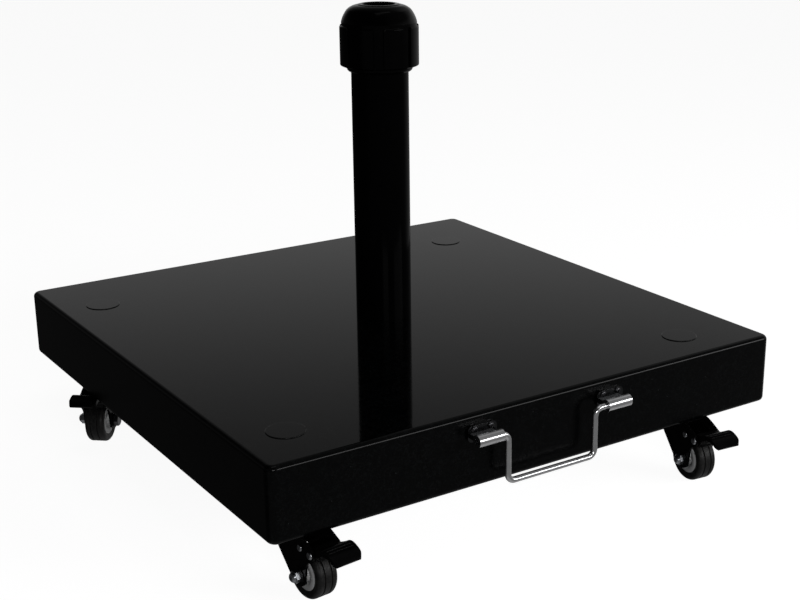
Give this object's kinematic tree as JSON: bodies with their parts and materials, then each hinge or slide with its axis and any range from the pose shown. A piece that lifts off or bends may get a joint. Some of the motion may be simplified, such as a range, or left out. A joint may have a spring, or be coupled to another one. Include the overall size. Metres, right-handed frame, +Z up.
{
  "type": "parasol base",
  "caption": "Square polished granite parasol base on braked swivel castors, with a black clamp tube for the pole and a drop handle on one side.",
  "frame": {"origin": "on the pole's axis, at the plane the castors stand on", "axes": "+Z up along the pole, -Y towards the side with the handle, +X to the right seen from that side"},
  "size_m": [0.6187, 0.64, 0.4906],
  "materials": {
    "polished_granite": "polished",
    "black_cap_plastic": "gloss",
    "black_lacquered_tube": "gloss",
    "black_clamp_plastic": "gloss",
    "grey_nylon": "matte",
    "bright_steel": "polished",
    "dark_steel": "blackened",
    "black_castor_metal": "satin",
    "tyre_rubber": "matte",
    "wheel_plastic": "satin",
    "pedal_plastic": "satin",
    "zinc_steel": "zinc plated",
    "ball_steel": "polished"
  },
  "bodies": {
    "base": {"granite_slab": "polished_granite", "bolt_covers": "black_cap_plastic", "castor_bolts": "zinc_steel", "castor_washers": "zinc_steel", "castor_nuts": "zinc_steel", "stand_tube": "black_lacquered_tube", "tube_foot": "zinc_steel", "centre_bolt": "zinc_steel", "centre_washer": "zinc_steel", "pole_guide": "grey_nylon", "clamp_collar": "black_clamp_plastic", "collar_screws": "zinc_steel", "handle_bracket_right": "bright_steel", "handle_bracket_left": "bright_steel", "handle_screws": "dark_steel", "handle_anchors": "grey_nylon", "swivel_mount_front_left": "black_castor_metal", "swivel_mount_front_right": "black_castor_metal", "swivel_mount_rear_left": "black_castor_metal", "swivel_mount_rear_right": "black_castor_metal"},
    "castor_front_left": {"fork_front_left": "black_castor_metal", "swivel_balls_front_left": "ball_steel", "axle_bolt_front_left": "zinc_steel", "axle_nut_front_left": "zinc_steel", "pedal_pin_front_left": "zinc_steel"},
    "wheel_front_left": {"tyre_front_left": "tyre_rubber", "wheel_core_front_left": "wheel_plastic"},
    "pedal_front_left": {"brake_pedal_front_left": "pedal_plastic", "brake_shoe_front_left": "black_castor_metal"},
    "castor_front_right": {"fork_front_right": "black_castor_metal", "swivel_balls_front_right": "ball_steel", "axle_bolt_front_right": "zinc_steel", "axle_nut_front_right": "zinc_steel", "pedal_pin_front_right": "zinc_steel"},
    "wheel_front_right": {"tyre_front_right": "tyre_rubber", "wheel_core_front_right": "wheel_plastic"},
    "pedal_front_right": {"brake_pedal_front_right": "pedal_plastic", "brake_shoe_front_right": "black_castor_metal"},
    "castor_rear_left": {"fork_rear_left": "black_castor_metal", "swivel_balls_rear_left": "ball_steel", "axle_bolt_rear_left": "zinc_steel", "axle_nut_rear_left": "zinc_steel", "pedal_pin_rear_left": "zinc_steel"},
    "wheel_rear_left": {"tyre_rear_left": "tyre_rubber", "wheel_core_rear_left": "wheel_plastic"},
    "pedal_rear_left": {"brake_pedal_rear_left": "pedal_plastic", "brake_shoe_rear_left": "black_castor_metal"},
    "castor_rear_right": {"fork_rear_right": "black_castor_metal", "swivel_balls_rear_right": "ball_steel", "axle_bolt_rear_right": "zinc_steel", "axle_nut_rear_right": "zinc_steel", "pedal_pin_rear_right": "zinc_steel"},
    "wheel_rear_right": {"tyre_rear_right": "tyre_rubber", "wheel_core_rear_right": "wheel_plastic"},
    "pedal_rear_right": {"brake_pedal_rear_right": "pedal_plastic", "brake_shoe_rear_right": "black_castor_metal"},
    "collet": {"collet": "grey_nylon", "slip_ring": "grey_nylon"},
    "clamp_nut": {"clamp_nut": "black_clamp_plastic"},
    "bail": {"handle_bail": "bright_steel"}
  },
  "joints": [
    {"name": "castor_swivel_front_left", "type": "hinge", "parent": "base", "child": "castor_front_left", "pos_m": [-0.249, -0.236, 0.065], "axis": [0, 0, 1], "continuous": true},
    {"name": "wheel_spin_front_left", "type": "hinge", "parent": "castor_front_left", "child": "wheel_front_left", "pos_m": [-0.24524, -0.2718, 0.025], "axis": [0.9945, 0.1045, 0], "continuous": true},
    {"name": "pedal_press_front_left", "type": "hinge", "parent": "castor_front_left", "child": "pedal_front_left", "pos_m": [-0.2433, -0.2902, 0.052], "axis": [0.9945, 0.1045, 0], "range_deg": [-12, 16]},
    {"name": "castor_swivel_front_right", "type": "hinge", "parent": "base", "child": "castor_front_right", "pos_m": [0.2175, -0.2465, 0.065], "axis": [0, 0, 1], "continuous": true},
    {"name": "wheel_spin_front_right", "type": "hinge", "parent": "castor_front_right", "child": "wheel_front_right", "pos_m": [0.21374, -0.2823, 0.025], "axis": [0.9945, -0.1045, 0], "continuous": true},
    {"name": "pedal_press_front_right", "type": "hinge", "parent": "castor_front_right", "child": "pedal_front_right", "pos_m": [0.2118, -0.3007, 0.052], "axis": [0.9945, -0.1045, 0], "range_deg": [-10, 18]},
    {"name": "castor_swivel_rear_left", "type": "hinge", "parent": "base", "child": "castor_rear_left", "pos_m": [-0.25, 0.203, 0.065], "axis": [0, 0, 1], "continuous": true},
    {"name": "wheel_spin_rear_left", "type": "hinge", "parent": "castor_rear_left", "child": "wheel_rear_left", "pos_m": [-0.27314, 0.17542, 0.025], "axis": [0.766, -0.6428, 0], "continuous": true},
    {"name": "pedal_press_rear_left", "type": "hinge", "parent": "castor_rear_left", "child": "pedal_rear_left", "pos_m": [-0.28503, 0.16125, 0.052], "axis": [0.766, -0.6428, 0], "range_deg": [-2, 26]},
    {"name": "castor_swivel_rear_right", "type": "hinge", "parent": "base", "child": "castor_rear_right", "pos_m": [0.221, 0.204, 0.065], "axis": [0, 0, 1], "continuous": true},
    {"name": "wheel_spin_rear_right", "type": "hinge", "parent": "castor_rear_right", "child": "wheel_rear_right", "pos_m": [0.23678, 0.23636, 0.025], "axis": [-0.8988, 0.4384, 0], "continuous": true},
    {"name": "pedal_press_rear_right", "type": "hinge", "parent": "castor_rear_right", "child": "pedal_rear_right", "pos_m": [0.24489, 0.25298, 0.052], "axis": [-0.8988, 0.4384, 0], "range_deg": [-10, 18]},
    {"name": "collet_slide", "type": "slide", "parent": "base", "child": "collet", "axis": [0, 0, 1], "range_m": [0, 0.008]},
    {"name": "clamp_nut_turn", "type": "hinge", "parent": "collet", "child": "clamp_nut", "pos_m": [0, 0, 0.45], "axis": [0, 0, 1], "range_deg": [0, 720]},
    {"name": "bail_swing", "type": "hinge", "parent": "base", "child": "bail", "pos_m": [0, -0.314, 0.1287], "axis": [-1, 0, 0], "range_deg": [-12, 195]}
  ],
  "couplings": [
    {"joint": "collet_slide", "follows": "clamp_nut_turn", "m_per_rad": 0.00063662}
  ]
}
